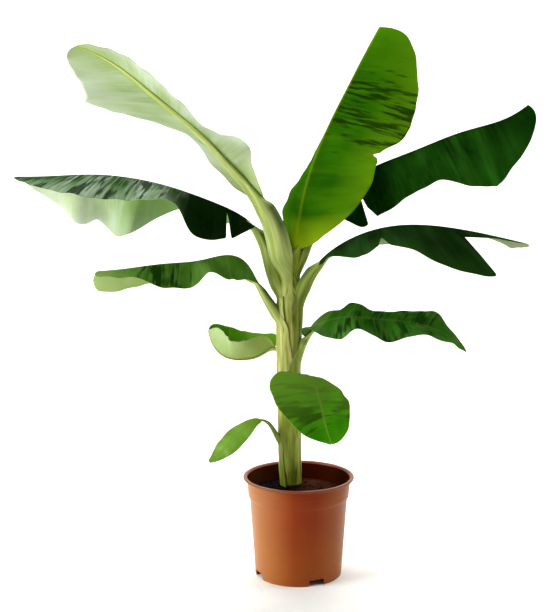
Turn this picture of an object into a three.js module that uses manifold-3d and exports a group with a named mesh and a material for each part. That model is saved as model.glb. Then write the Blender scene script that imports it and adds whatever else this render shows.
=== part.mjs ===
// A young banana plant in a plastic nursery pot: a pot with four drain notches, its soil, a
// pseudostem of rolled leaf sheaths, and eleven leaves, each a stalk and a broad thin blade.
// Millimetres and degrees, +Z up. The origin is the middle of the pot's flat underside, +X is the
// plant's right and +Y its back. A bearing is counted from +X towards +Y, a climb from the level.
import * as THREE from "three";
import { mergeVertices } from "three/addons/utils/BufferGeometryUtils.js";
import Module from "manifold-3d";

const wasm = await Module();
wasm.setup();

const CLEARANCE = 0.3; // between pieces that meet

// Pot: outer sizes of the moulded shell
const POT = {
  height: 190,
  wall: 2,
  sides: 40,
  footRadius: 82,
  bodyTopRadius: 92.3,
  collarBottom: 148,
  collarBottomRadius: 95,
  collarTopRadius: 98,
  lipRadius: 105,
  lipDepth: 5,
  shoulder: 4,
  seatRadius: 54,
  drainRise: 12,
  notches: 4,
  notchWidth: 30,
  notchBearing: -66,
};

// Soil: a firm bed, level round the stem and a little lower at the wall
const SOIL = { level: 162, edgeDrop: 5, levelRadius: 52 };

// Pseudostem: radius against height, an upright axis that sways a little to the left
const STEM = {
  x: -14,
  y: 0,
  sway: -5,
  sides: 16,
  heights: [162, 176, 265, 392, 480, 530, 565, 600],
  radii: [24, 21.5, 22, 22, 24, 25, 19, 8],
};

// Leaves, lowest first. root is the height at which the stalk's line leaves the stem's axis; stalk and
// length are measured along the leaf. climb and bearing are read at even steps along stalk and blade,
// the others at even steps along the blade alone: widths are those of one half, and a fold lifts (+) or
// hangs (-) that half. curl bends a half down towards its margin, lean turns the veins to the tip, and a
// tear runs along a vein, from the margin inwards. Left and right are as seen from the stem.
const LEAVES = {
  lowest: {
    root: 230, stalk: 98, length: 129, stalkRadii: [9, 3],
    climb: [50, 60, 50, -17, -37, -39, -35],
    bearing: [203, 205, 208, 212, 211, 206, 202],
    left: { widths: [22, 20, 20, 22, 24, 26, 26, 26, 26, 24, 22, 18, 15], folds: [-10, -15, -15] },
    right: { widths: [23, 18, 18, 20, 24, 27, 28, 27, 27, 25, 23, 19, 20], folds: [12, 14, 12] },
    curl: 5, round: { foot: 0.4, tip: 0.5 },
  },
  front: {
    root: 337, stalk: 90, length: 148, stalkRadii: [11, 4],
    climb: [56, 47, 26, -38, -66, -73, -68],
    bearing: [298, 298, 299, 297, 305, 321, 335],
    left: {
      widths: [41, 48, 59, 70, 81, 90, 96, 98, 98, 95, 90, 79, 68],
      folds: [-13, -15, -19, -21, -20, -19, -16, -12, -8, -6, -2, 2, 4],
    },
    right: {
      widths: [86, 89, 93, 90, 85, 83, 79, 73, 66, 59, 49, 38, 29],
      folds: [17, 13, 4, -2, -5, -8, -8, -6, -4, 0, 9, 17, 25],
    },
    curl: 8, round: { foot: 0.35, tip: 0.3 }, lean: [-16, -6, 0, 9, 16],
  },
  cupped: {
    root: 389, stalk: 60, length: 163, stalkRadii: [13, 6],
    climb: [63, 50, -32, -11, 13, 55, 80],
    bearing: [118, 133, 169, 180, 184, 188, 188],
    left: {
      widths: [45, 48, 56, 63, 65, 66, 65, 63, 61, 57, 56, 57, 67],
      folds: [73, 60, 55, 52, 50, 49, 49, 51, 50, 49, 51, 52, 59],
    },
    right: {
      widths: [78, 65, 63, 61, 61, 63, 64, 63, 60, 60, 61, 66, 75],
      folds: [33, 34, 48, 59, 65, 68, 69, 68, 65, 62, 56, 44, 29],
    },
    curl: 15, round: { foot: 0.14, tip: 0.4 },
  },
  right_low: {
    root: 355, stalk: 112, length: 323, stalkRadii: [14, 6],
    climb: [77, 71, 34, -1, -5, -22, -47],
    bearing: [340, 340, 333, 350, 355, 362, 352],
    left: {
      widths: [55, 64, 72, 76, 55, 47, 57, 69, 73, 46, 33, 34, 35],
      folds: [28, 23, 15, 17, 20, 14, 13, 13, 20, 41, 28, 16, 12],
    },
    right: {
      widths: [44, 48, 57, 65, 63, 65, 59, 65, 68, 60, 42, 33, 26],
      folds: [11, 12, -17, -23, -6, -14, -28, -10, 0, -4, -1, 0, 11],
    },
    curl: 10, round: { foot: 0.12, tip: 0.2 },
  },
  left_low: {
    root: 456, stalk: 116, length: 326, stalkRadii: [13, 5],
    climb: [67, 56, 59, -8, -2, -7, -3],
    bearing: [194, 197, 204, 200, 196, 190, 187],
    left: {
      widths: [49, 60, 64, 55, 61, 68, 58, 56, 61, 61, 57, 52, 46],
      folds: [-9, -19, -32, -43, -30, -6, -41, -43, -26, -5, -3, -1, 1],
    },
    right: {
      widths: [45, 55, 60, 62, 62, 64, 66, 67, 66, 68, 74, 78, 70],
      folds: [-15, -15, -15, -15, -17, -22, -28, -33, -34, -36, -36, -32, -22],
    },
    curl: 10, round: { foot: 0.15, tip: 0.08 },
  },
  right_mid: {
    root: 470, stalk: 135, length: 405, stalkRadii: [18, 10],
    climb: [79, 64, 36, 15, -3, -11, -13],
    bearing: [350, 346, 347, 341, 350, 354, 349],
    left: {
      widths: [50, 80, 90, 95, 95, 96, 97, 94, 93, 89, 83, 68, 49],
      folds: [-5, -4, -9, -17, -20, -18, -8, -5, -7, -11, -11, -10, -12],
    },
    right: {
      widths: [40, 65, 82, 94, 95, 109, 109, 123, 128, 111, 81, 60, 40],
      folds: [-16, -5, -15, -19, -13, -20, -40, -43, -40, -28, -16, -16, -15],
    },
    curl: 10, round: { foot: 0.2, tip: 0.2 }, lean: [0, 10, 32, 46, 30],
    tears: [
      { side: -1, from: 0.33, to: 0.335, deep: 0.35 },
      { side: -1, from: 0.68, to: 1, deep: 0.8 },
    ],
  },
  left_arch: {
    root: 511, stalk: 159, length: 476, stalkRadii: [18, 9],
    climb: [61, 72, 28, 18, 8, -3, 0],
    bearing: [165, 165, 179, 174, 178, 170, 177],
    left: {
      widths: [47, 67, 100, 105, 114, 106, 94, 95, 97, 90, 79, 64, 50],
      folds: [22, -22, -25, -31, -2, -7, -17, -19, -16, -11, -5, -2, -3],
    },
    right: {
      widths: [82, 94, 101, 102, 99, 100, 117, 160, 154, 127, 96, 67, 44],
      folds: [-9, -11, -16, -19, -16, -37, -63, -42, -34, -47, -35, -27, -20],
    },
    curl: 10, round: { foot: 0.2, tip: 0.2 }, lean: [-25, -12, 5, 15, 20],
    tears: [{ side: 1, from: 0.145, to: 0.15, deep: 0.8 }],
  },
  right_high: {
    root: 525, stalk: 185, length: 482, stalkRadii: [16, 8.5],
    climb: [78, 63, 44, 21, 21, 13, 29],
    bearing: [28, 28, 26, 15, 14, 24, 35],
    left: { widths: [50, 95, 112, 120, 115, 90, 60], folds: [-20, -25, -30] },
    right: {
      widths: [58, 91, 89, 88, 90, 82, 80, 110, 121, 115, 86, 64, 48],
      folds: [-58, -67, -74, -74, -46, -48, -48, -52, -56, -73, -70, -66, -36],
    },
    curl: 15, round: { foot: 0.2, tip: 0.15 }, lean: [-15, -12, -5, 5, 15],
    tears: [
      { side: -1, from: 0.162, to: 0.168, deep: 0.62 },
      { side: -1, from: 0.18, to: 0.2, deep: 0.2 },
    ],
  },
  upper_left: {
    root: 526, stalk: 192, length: 447, stalkRadii: [21, 13],
    climb: [78, 77, 49, 42, 34, 36, 19],
    bearing: [199, 202, 202, 217, 220, 210, 205],
    left: {
      widths: [31, 42, 49, 86, 45, 33, 53, 67, 75, 74, 65, 54, 38],
      folds: [17, 16, 27, 18, 18, 12, 8, 9, 8, 9, 9, 5, -5],
    },
    right: {
      widths: [63, 77, 84, 93, 105, 130, 131, 141, 112, 96, 79, 62, 49],
      folds: [2, 0, 7, 16, 8, -6, -16, -25, -35, -34, -33, -30, -36],
    },
    curl: 10, round: { foot: 0.2, tip: 0.15 }, lean: [-9, 17, 38, 38, 43],
  },
  upright: {
    root: 535, stalk: 88, length: 490, stalkRadii: [18, 10],
    climb: [84, 83, 73, 56, 45, 52, 58],
    bearing: [15, 30, 36, 50, 57, 47, 26],
    left: {
      widths: [54, 72, 84, 93, 102, 122, 141, 141, 131, 113, 95, 80, 70],
      folds: [16, -1, -11, -25, -36, -43, -52, -59, -61, -61, -60, -60, -60],
    },
    right: {
      widths: [67, 88, 109, 122, 121, 123, 154, 163, 158, 143, 116, 94, 91],
      folds: [-45, -50, -50, -50, -50],
    },
    curl: 10, round: { foot: 0.15, tip: 0.15 }, lean: [10, 22, 28],
    tears: [{ side: -1, from: 0.395, to: 0.4, deep: 0.1 }],
  },
  back: {
    root: 525, stalk: 200, length: 380, stalkRadii: [16, 8],
    climb: [74, 61, 44, 29, 19, 9, 0],
    bearing: [62, 66, 69, 71, 72, 73, 74],
    left: { widths: [46, 60, 66, 62, 45], folds: [-30, -38, -38] },
    right: { widths: [40, 56, 78, 80, 55], folds: [-20, -30, -30] },
    curl: 15, round: { foot: 0.2, tip: 0.3 },
  },
};

const BLADE_STATIONS_EVERY = 30; // mm along a blade
const STALK_SIDES = 10;
const TEAR_FLARE = 0.015; // share of the blade's length over which a tear opens
const VEIN_LEAN = [0, 22]; // how far the veins lean towards the tip, at the foot and at the tip
const VEIN_START = 0.04; // share of the blade's length over which the veins take up their lean

const degrees = (a) => (a * Math.PI) / 180;
const clamp = (v, low, high) => Math.min(high, Math.max(low, v));

// A value read at fraction q of an evenly spaced list, on a smooth line through its values.
function along(list, q) {
  const last = list.length - 1;
  const at = clamp(q, 0, 1) * last;
  const i = Math.min(Math.floor(at), last - 1);
  const f = at - i;
  const before = list[Math.max(i - 1, 0)];
  const a = list[i];
  const b = list[i + 1];
  const after = list[Math.min(i + 2, last)];
  const slopeA = (b - before) / 2;
  const slopeB = (after - a) / 2;
  const f2 = f * f;
  const f3 = f2 * f;
  const ends = a * (2 * f3 - 3 * f2 + 1) + b * (3 * f2 - 2 * f3);
  return ends + slopeA * (f3 - 2 * f2 + f) + slopeB * (f3 - f2);
}

function stemX(height) {
  const [low, high] = [STEM.heights[0], STEM.heights.at(-1)];
  return STEM.x + STEM.sway * Math.sin((Math.PI * (height - low)) / (high - low));
}

// The leaf's line from the stem's axis to its tip: place, direction, left side and upper side at a
// distance along it.
function lineOf(leaf) {
  const total = leaf.stalk + leaf.length;
  const steps = 160;
  const places = [new THREE.Vector3(stemX(leaf.root), STEM.y, leaf.root)];
  const heading = (distance) => {
    const climb = degrees(along(leaf.climb, distance / total));
    const bearing = degrees(along(leaf.bearing, distance / total));
    const ahead = new THREE.Vector3(
      Math.cos(climb) * Math.cos(bearing), Math.cos(climb) * Math.sin(bearing), Math.sin(climb));
    const left = new THREE.Vector3(-Math.sin(bearing), Math.cos(bearing), 0);
    return { ahead, left, up: ahead.clone().cross(left) };
  };
  for (let i = 0; i < steps; i++) {
    const middle = heading(((i + 0.5) / steps) * total);
    places.push(places[i].clone().addScaledVector(middle.ahead, total / steps));
  }
  return (distance) => {
    const at = (clamp(distance, 0, total) / total) * steps;
    const i = Math.min(Math.floor(at), steps - 1);
    const { ahead, left, up } = heading(distance);
    return { place: places[i].clone().lerp(places[i + 1], at - i), ahead, left, up };
  };
}

// A closed solid through rings of equal count, each end closed by a fan.
function loft(rings) {
  const count = rings[0].length;
  const points = rings.flat();
  const faces = [];
  for (let r = 0; r + 1 < rings.length; r++)
    for (let i = 0; i < count; i++) {
      const j = (i + 1) % count;
      const [a, b, c, d] = [r * count + i, r * count + j, (r + 1) * count + j, (r + 1) * count + i];
      faces.push(a, b, c, a, c, d);
    }
  const last = (rings.length - 1) * count;
  for (let i = 1; i + 1 < count; i++) {
    faces.push(0, i + 1, i);
    faces.push(last, last + i, last + i + 1);
  }
  return solidOf(points, faces);
}

function solidOf(points, faces) {
  const geometry = new THREE.BufferGeometry().setFromPoints(points).setIndex(faces);
  return toSolid(geometry);
}

function toSolid(geometry) {
  const bare = geometry.clone();
  bare.deleteAttribute("normal");
  bare.deleteAttribute("uv");
  const merged = mergeVertices(bare, 1e-4);
  const vertProperties = new Float32Array(merged.attributes.position.array);
  const triVerts = new Uint32Array(merged.index.array);
  const made = new wasm.Manifold(new wasm.Mesh({ numProp: 3, vertProperties, triVerts }));
  if (made.volume() > 0) return made;
  for (let i = 0; i < triVerts.length; i += 3)
    [triVerts[i + 1], triVerts[i + 2]] = [triVerts[i + 2], triVerts[i + 1]];
  return new wasm.Manifold(new wasm.Mesh({ numProp: 3, vertProperties, triVerts }));
}

function toGeometry(solid) {
  const mesh = solid.getMesh();
  const positions = new Float32Array(mesh.numVert * 3);
  for (let i = 0; i < mesh.numVert; i++)
    positions.set(mesh.vertProperties.subarray(i * mesh.numProp, i * mesh.numProp + 3), i * 3);
  return new THREE.BufferGeometry()
    .setAttribute("position", new THREE.BufferAttribute(positions, 3))
    .setIndex(new THREE.BufferAttribute(mesh.triVerts, 1));
}

// The largest body of a cut solid, without the scraps.
function largest(solid) {
  return solid.decompose().reduce((best, body) => (body.volume() > best.volume() ? body : best));
}

// A half's width at fraction q of the blade's length: its own widths, rounded off at foot and tip.
function halfWidth(leaf, half, q) {
  const rounded = (x) => Math.sqrt(1 - (1 - clamp(x, 0, 1)) ** 2);
  return along(half.widths, q) * rounded(q / leaf.round.foot) * rounded((1 - q) / leaf.round.tip);
}

function ribHalf(leaf, q) {
  return leaf.stalkRadii[1] * (1 - 0.8 * q);
}

// A point of the blade's middle surface and its normal, at fraction q along and t across, where t
// runs from 1 at the left margin to -1 at the right one.
function bladePoint(leaf, line, q, t) {
  const at = line(leaf.stalk + q * leaf.length);
  const side = t < 0 ? -1 : 1;
  const across = Math.abs(t);
  const torn = (leaf.tears ?? [])
    .filter((tear) => tear.side === side)
    .reduce((most, tear) => {
      const beside = Math.max(tear.from - q, q - tear.to, 0);
      return Math.max(most, tear.deep * clamp(1 - beside / TEAR_FLARE, 0, 1));
    }, 0);
  const half = side > 0 ? leaf.left : leaf.right;
  const width = Math.max(halfWidth(leaf, half, q) * (1 - torn), ribHalf(leaf, q) * 1.3 + 1);
  const fold = degrees(along(half.folds, q));
  const curl = degrees(leaf.curl);
  const lean = degrees(along(leaf.lean ?? VEIN_LEAN, q)) * clamp(q / VEIN_START, 0, 1);
  const out = (width * Math.cos(lean) * (Math.sin(fold) - Math.sin(fold - curl * across))) / curl;
  const rise = (width * Math.cos(lean) * (Math.cos(fold - curl * across) - Math.cos(fold))) / curl;
  const slope = fold - curl * across;
  return {
    point: at.place
      .clone()
      .addScaledVector(at.left, side * out)
      .addScaledVector(at.up, rise)
      .addScaledVector(at.ahead, width * across * Math.sin(lean)),
    normal: at.up.clone().multiplyScalar(Math.cos(slope)).addScaledVector(at.left, -side * Math.sin(slope)),
    width,
    up: at.up,
  };
}

// Blade: a thin sheet, thicker at the rib that runs under its middle.
function blade(leaf, line) {
  const thick = Math.max(1.6, leaf.length * 0.0105);
  const count = Math.round(leaf.length / BLADE_STATIONS_EVERY);
  const stations = [0, 0.02, 0.05, 0.1];
  for (let i = 1; i < count; i++) stations.push(0.1 + (0.85 * i) / count);
  stations.push(0.95, 0.985, 1);
  for (const { from, to } of leaf.tears ?? []) {
    stations.push(from - TEAR_FLARE, from, to, to + TEAR_FLARE);
  }
  const start = CLEARANCE / leaf.length;
  const inside = stations.filter((station) => station <= 1).sort((a, b) => a - b);
  const rings = inside.map((station) => {
    const q = Math.max(station, start);
    const rib = ribHalf(leaf, q);
    const marks = [1, 0.55, 0, 0, 0, -0.55, -1].map((t, i) => {
      if (i !== 2 && i !== 4) return t;
      return ((i === 2 ? 1 : -1) * rib) / bladePoint(leaf, line, q, 0.01).width;
    });
    const upper = marks.map((t) => {
      const { point, normal } = bladePoint(leaf, line, q, t);
      return point.addScaledVector(normal, thick / 2);
    });
    const lower = marks.map((t, i) => {
      const { point, normal, up } = bladePoint(leaf, line, q, t);
      return point.addScaledVector(normal, -thick / 2).addScaledVector(up, i === 3 ? -rib : 0);
    });
    return [...upper, ...lower.reverse()];
  });
  return loft(rings);
}

// Stalk: a tapering limb with a channel along its upper side. spare widens it, to cut its neighbours.
function stalk(leaf, line, spare) {
  const rings = [];
  const steps = Math.max(5, Math.round(leaf.stalk / 18));
  const [thickRadius, thinRadius] = leaf.stalkRadii;
  for (let i = 0; i <= steps; i++) {
    const q = i / steps;
    const { place, left, up } = line(leaf.stalk * q);
    const radius = thinRadius + (thickRadius - thinRadius) * (1 - q) ** 1.2 + spare;
    const ring = [];
    for (let k = 0; k < STALK_SIDES; k++) {
      const angle = (2 * Math.PI * k) / STALK_SIDES + Math.PI / 2;
      const reach = k === 0 && !spare ? radius * 0.6 : radius;
      const spot = place.clone().addScaledVector(left, reach * Math.cos(angle));
      ring.push(spot.addScaledVector(up, reach * Math.sin(angle)));
    }
    rings.push(ring);
  }
  return loft(rings);
}

// Pseudostem: one tapering, slightly swaying trunk. spare widens it, to cut the limbs.
function pseudostem(spare) {
  const last = STEM.heights.length - 1;
  const rings = STEM.heights.map((height, i) => {
    const ring = [];
    const foot = i === 0 && !spare ? CLEARANCE : 0;
    const z = height + foot + (i === last ? spare : 0);
    for (let k = 0; k < STEM.sides; k++) {
      const angle = (2 * Math.PI * k) / STEM.sides;
      const radius = STEM.radii[i] + spare;
      const x = stemX(height) + radius * Math.cos(angle);
      ring.push(new THREE.Vector3(x, STEM.y + radius * Math.sin(angle), z));
    }
    return ring;
  });
  return loft(rings);
}

// A solid turned about +Z from (radius, height) points.
function turned(profile, sides) {
  const points = profile.map(([radius, height]) => new THREE.Vector2(radius, height));
  return toSolid(new THREE.LatheGeometry(points, sides).rotateX(Math.PI / 2));
}

// Outer radius of the pot's plain wall at a height.
function wallRadius(height) {
  return POT.footRadius + ((POT.bodyTopRadius - POT.footRadius) * height) / POT.collarBottom;
}

function pot() {
  const { wall, drainRise, seatRadius, collarBottom, shoulder, height, lipDepth, lipRadius } = POT;
  const underLip = height - lipDepth;
  const plate = drainRise + wall;
  const shell = turned(
    [
      [0, 0],
      [seatRadius, 0],
      [seatRadius + 3, drainRise],
      [wallRadius(drainRise) - wall, drainRise],
      [POT.footRadius - wall, 0],
      [POT.footRadius, 0],
      [POT.bodyTopRadius, collarBottom],
      [POT.collarBottomRadius, collarBottom + shoulder],
      [POT.collarTopRadius, underLip],
      [lipRadius - 1, underLip],
      [lipRadius, underLip + 1.5],
      [lipRadius - 0.6, height],
      [POT.collarTopRadius, height],
      [POT.collarTopRadius - wall, underLip],
      [POT.collarBottomRadius - wall, collarBottom + shoulder],
      [POT.bodyTopRadius - wall, collarBottom],
      [wallRadius(plate) - wall, plate],
      [seatRadius + 3 - wall, plate],
      [seatRadius - wall, wall],
      [0, wall],
    ],
    POT.sides,
  );
  const reach = 30;
  let made = shell;
  for (let i = 0; i < POT.notches; i++) {
    const notch = new THREE.BoxGeometry(reach, POT.notchWidth, 2 * drainRise);
    notch.translate(POT.footRadius, 0, 0);
    notch.rotateZ(degrees(POT.notchBearing + (360 / POT.notches) * i));
    made = made.subtract(toSolid(notch));
  }
  return largest(made);
}

function soil() {
  const gap = POT.wall + CLEARANCE;
  const floor = POT.wall + CLEARANCE;
  const plate = POT.drainRise + floor;
  const edge = SOIL.level - SOIL.edgeDrop;
  const collarHeight = POT.height - POT.lipDepth - POT.collarBottom;
  const collarSlope = (POT.collarTopRadius - POT.collarBottomRadius) / collarHeight;
  return turned(
    [
      [0, floor],
      [POT.seatRadius - gap, floor],
      [POT.seatRadius + 3 - gap, plate],
      [wallRadius(plate) - gap, plate],
      [POT.bodyTopRadius - gap, POT.collarBottom],
      [POT.collarBottomRadius - gap, POT.collarBottom + POT.shoulder],
      [POT.collarBottomRadius - gap + collarSlope * (edge - POT.collarBottom - POT.shoulder), edge],
      [SOIL.levelRadius + 14, SOIL.level - 1],
      [SOIL.levelRadius, SOIL.level],
      [0, SOIL.level],
    ],
    POT.sides,
  );
}

const FINISHES = {
  pot: { color: 0xa8582c, roughness: 0.5 },
  soil: { color: 0x33201a, roughness: 1 },
  stem: { color: 0xa9b04e, roughness: 0.6 },
  stalk: { color: 0xa7b957, roughness: 0.55 },
  blade: { color: 0x2f6a1e, roughness: 0.45 },
};

const plant = new THREE.Group();

function add(name, solid, finish) {
  const material = new THREE.MeshStandardMaterial({ ...FINISHES[finish], metalness: 0 });
  const mesh = new THREE.Mesh(toGeometry(solid), material);
  mesh.name = name;
  plant.add(mesh);
}

add("pot", pot(), "pot");
add("soil", soil(), "soil");
add("pseudostem", pseudostem(0), "stem");

// Each limb is cut clear of those before it, and every blade of all the limbs.
const cutters = [pseudostem(CLEARANCE)];
for (const [name, leaf] of Object.entries(LEAVES)) {
  const line = lineOf(leaf);
  const limb = cutters.reduce((left, cutter) => left.subtract(cutter), stalk(leaf, line, 0));
  add("stalk_" + name, largest(limb), "stalk");
  cutters.push(stalk(leaf, line, CLEARANCE));
}
for (const [name, leaf] of Object.entries(LEAVES)) {
  const sheet = cutters.reduce((left, cutter) => left.subtract(cutter), blade(leaf, lineOf(leaf)));
  add("blade_" + name, largest(sheet), "blade");
}

export default plant;
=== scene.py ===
import math
import random

import bmesh
import bpy
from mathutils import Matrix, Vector, noise


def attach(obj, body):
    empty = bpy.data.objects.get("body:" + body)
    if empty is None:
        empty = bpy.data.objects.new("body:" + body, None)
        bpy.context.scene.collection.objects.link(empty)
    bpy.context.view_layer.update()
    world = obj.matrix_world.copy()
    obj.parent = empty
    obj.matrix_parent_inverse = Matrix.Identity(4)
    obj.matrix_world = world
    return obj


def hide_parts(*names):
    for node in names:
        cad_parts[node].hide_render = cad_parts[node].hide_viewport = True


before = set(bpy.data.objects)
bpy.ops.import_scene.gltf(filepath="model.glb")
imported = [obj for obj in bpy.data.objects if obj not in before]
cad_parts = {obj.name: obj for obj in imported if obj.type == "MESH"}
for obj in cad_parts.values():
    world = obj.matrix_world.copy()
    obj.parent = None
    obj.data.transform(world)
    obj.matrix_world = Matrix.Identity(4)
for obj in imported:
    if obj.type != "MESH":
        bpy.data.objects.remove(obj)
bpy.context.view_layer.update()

# Studio: a pale floor that sweeps up behind the plant, tall soft lights to either side and a broad one
# overhead. The camera stands 2.2 m off at leaf height and looks down a little, as the photograph does.
MM = 0.001
SWEEP_FRONT = -6.0
SWEEP_BACK = 2.6
SWEEP_RADIUS = 1.8
SWEEP_TOP = 5.0
SWEEP_HALF_WIDTH = 7.0
SWEEP_STEPS = 120
AIR_STRENGTH = 0.12
CAMERA_PLACE = (-0.039, -2.2, 0.846)
CAMERA_DIP = 8.56  # degrees
LENS_LENGTH = 70.47
SENSOR_WIDTH = 36

scene = bpy.context.scene


def to_linear(hex_colour):
    """An sRGB hex colour as linear red, green, blue and alpha."""
    channels = [int(hex_colour[i : i + 2], 16) / 255 for i in (1, 3, 5)]
    return [c / 12.92 if c <= 0.04045 else ((c + 0.055) / 1.055) ** 2.4 for c in channels] + [1]


def new_material(name):
    """A node material with no nodes yet."""
    material = bpy.data.materials.new(name)
    material.use_nodes = True
    material.node_tree.nodes.clear()
    return material


def add_node(material, kind, inputs=(), **settings):
    """Adds a node with its settings. An input given as another node's output is linked to it, and one
    given as a node is linked to its first output."""
    node = material.node_tree.nodes.new("ShaderNode" + kind)
    for name, value in settings.items():
        setattr(node, name, value)
    for key, value in dict(inputs).items():
        if isinstance(value, bpy.types.Node):
            value = value.outputs[0]
        if isinstance(value, bpy.types.NodeSocket):
            material.node_tree.links.new(value, node.inputs[key])
        else:
            node.inputs[key].default_value = value
    return node


def add_object(name, bm, *materials):
    """Adds a smooth object whose mesh is made from bm."""
    mesh = bpy.data.meshes.new(name)
    bm.to_mesh(mesh)
    bm.free()
    for material in materials:
        mesh.materials.append(material)
    mesh.polygons.foreach_set("use_smooth", [True] * len(mesh.polygons))
    added = bpy.data.objects.new(name, mesh)
    scene.collection.objects.link(added)
    return added


def sweep_place(share):
    """Distance back and height on the sweep, at a share of its run from the front of the floor."""
    flat = SWEEP_BACK - SWEEP_FRONT
    bend = SWEEP_RADIUS * math.pi / 2
    run = share * (flat + bend + SWEEP_TOP - SWEEP_RADIUS)
    if run < flat:
        return SWEEP_FRONT + run, 0.0
    if run < flat + bend:
        angle = (run - flat) / SWEEP_RADIUS
        return SWEEP_BACK + SWEEP_RADIUS * math.sin(angle), SWEEP_RADIUS * (1 - math.cos(angle))
    return SWEEP_BACK + SWEEP_RADIUS, run - flat - bend + SWEEP_RADIUS


# Matt studio paper, a warm white.
paper = new_material("studio_paper")
add_node(paper, "OutputMaterial", {
    "Surface": add_node(paper, "BsdfPrincipled", {
        "Base Color": to_linear("#f3f2ef"),
        "Roughness": 0.9,
        "Specular IOR Level": 0.1,
    }),
})

bm = bmesh.new()
for vert in bmesh.ops.create_grid(bm, x_segments=1, y_segments=SWEEP_STEPS, size=1)["verts"]:
    back, height = sweep_place((vert.co.y + 1) / 2)
    vert.co = (vert.co.x * SWEEP_HALF_WIDTH, back, height)
sweep = add_object("studio_sweep", bm, paper)

world = bpy.data.worlds.new("studio_air")
world.use_nodes = True
world.node_tree.nodes["Background"].inputs["Color"].default_value = to_linear("#ffffff")
world.node_tree.nodes["Background"].inputs["Strength"].default_value = AIR_STRENGTH
scene.world = world
scene.view_settings.view_transform = "Standard"

# Each light has its place, width, height and power in watts, and the point that it faces.
for name, place, width, height, power, aim in (
    ("left_light", (-2.6, -0.9, 1.3), 1.4, 2.4, 105, (0, 0, 0.6)),
    ("right_light", (2.7, 0.2, 1.3), 1.0, 2.4, 42, (0, 0, 0.6)),
    ("top_light", (-0.2, 0.9, 3.4), 3.0, 1.6, 70, (0, 0.2, 0.3)),
    ("wall_light", (0.0, 2.0, 4.2), 5.0, 1.0, 260, (0, 4.4, 1.0)),
    ("floor_light", (0.0, -1.6, 3.6), 3.0, 1.0, 26, (0, -1.2, 0.0)),
):
    light = bpy.data.lights.new(name, "AREA")
    light.shape = "RECTANGLE"
    light.size = width
    light.size_y = height
    light.energy = power
    lamp = bpy.data.objects.new(name, light)
    lamp.location = place
    lamp.rotation_euler = (Vector(aim) - Vector(place)).to_track_quat("-Z", "Y").to_euler()
    scene.collection.objects.link(lamp)

lens = bpy.data.cameras.new("photo_camera")
lens.lens = LENS_LENGTH
lens.sensor_width = SENSOR_WIDTH
camera = bpy.data.objects.new("photo_camera", lens)
camera.location = CAMERA_PLACE
camera.rotation_euler = (math.radians(90 - CAMERA_DIP), 0, 0)
scene.collection.objects.link(camera)
scene.camera = camera

# Pot: a thin injection-moulded polypropylene nursery pot in terracotta brown, with a conical wall, a
# wider collar, a rolled lip and a raised floor round a flush disc. The profile is spun about the
# upright axis and the four drain notches are cut from its foot.
COLLAR_FOOT = (95, 152)
COLLAR_TOP = (98, 185)
POT_PROFILE = (
    (0, 0), (54, 0), (57, 12), (80.83, 12), (80, 0), (82, 0),
    (82.97, 14), (92.3, 148), (93.2, 150.2), COLLAR_FOOT, COLLAR_TOP,
    (101.5, 185.2), (104, 186), (105, 187.8), (104.6, 189.3), (103.2, 190), (99.4, 190), (98, 189),
    (96.6, 185), (93, 152), (90.3, 148), (80.97, 14), (55, 14), (52, 2), (0, 2),
)
POT_SIDES = 160
COLLAR_RINGS = (158, 163.5, 169)
RING_HALF_WIDTH = 1.1
RING_DEPTH = 0.35
NOTCHES = 4
NOTCH_WIDTH = 30
NOTCH_HEIGHT = 12
NOTCH_DEPTH = 34
NOTCH_MIDDLE = 84
NOTCH_CORNER = 1.2
NOTCH_BEARING = -66
MERGE_DISTANCE = 0.01
SHARP_ANGLE = 60


def applied(piece):
    """Takes a piece's modifiers into its mesh."""
    graph = bpy.context.evaluated_depsgraph_get()
    old = piece.data
    piece.data = bpy.data.meshes.new_from_object(piece.evaluated_get(graph))
    piece.modifiers.clear()
    piece.data.name = piece.name
    bpy.data.meshes.remove(old)


def make_piece(name, bm, materials, slot, *nodes):
    """Makes bm a smooth piece that rides on the plant's one body and stands for the CAD nodes."""
    piece = add_object(name, bm, *materials)
    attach(piece, "root")
    if nodes:
        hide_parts(*nodes)
    return piece


def spun_shape(profile, sides):
    """A closed shape spun about the upright axis from radii and heights in millimetres."""
    bm = bmesh.new()
    chain = [bm.verts.new((radius * MM, 0, height * MM)) for radius, height in profile]
    edges = [bm.edges.new(pair) for pair in zip(chain, chain[1:])]
    bmesh.ops.spin(
        bm, geom=chain + edges, axis=(0, 0, 1), cent=(0, 0, 0),
        angle=math.tau, steps=sides, use_merge=True,
    )
    bmesh.ops.remove_doubles(bm, verts=bm.verts, dist=MERGE_DISTANCE * MM)
    bmesh.ops.recalc_face_normals(bm, faces=bm.faces)
    return bm


# Moulded polypropylene: matt and slightly waxy, a shade paler where the light grazes it, with faint drag
# lines down the wall from the mould. Inside, above the soil, it is painted nearly black as shade.
MOTTLE_SIZE = 71.4
DRAG_WIDTH = 3.85
DRAG_LENGTH = 143
HALF_WALL = 0.9
INSIDE_SHADE_FOOT = 153
INSIDE_SHADE_STRENGTH = 0.93
LIP_FOOT = 183.5
LIP_STRENGTH = 0.75

plastic = new_material("moulded_polypropylene")
pot_place = add_node(plastic, "TexCoord").outputs["Object"]
mottle = add_node(plastic, "TexNoise", {
    "Vector": pot_place, "Scale": 1 / (MOTTLE_SIZE * MM), "Detail": 4.0,
})
drag = add_node(plastic, "TexNoise", {
    "Vector": add_node(plastic, "Mapping", {
        "Vector": pot_place,
        "Scale": [1 / (size * MM) for size in (DRAG_WIDTH, DRAG_WIDTH, DRAG_LENGTH)],
    }),
    "Scale": 1.0,
    "Detail": 2.0,
})
wall_colour = add_node(plastic, "Mix", {
    0: mottle.outputs["Fac"], 6: to_linear("#782000"), 7: to_linear("#903804"),
}, data_type="RGBA").outputs[2]
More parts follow.
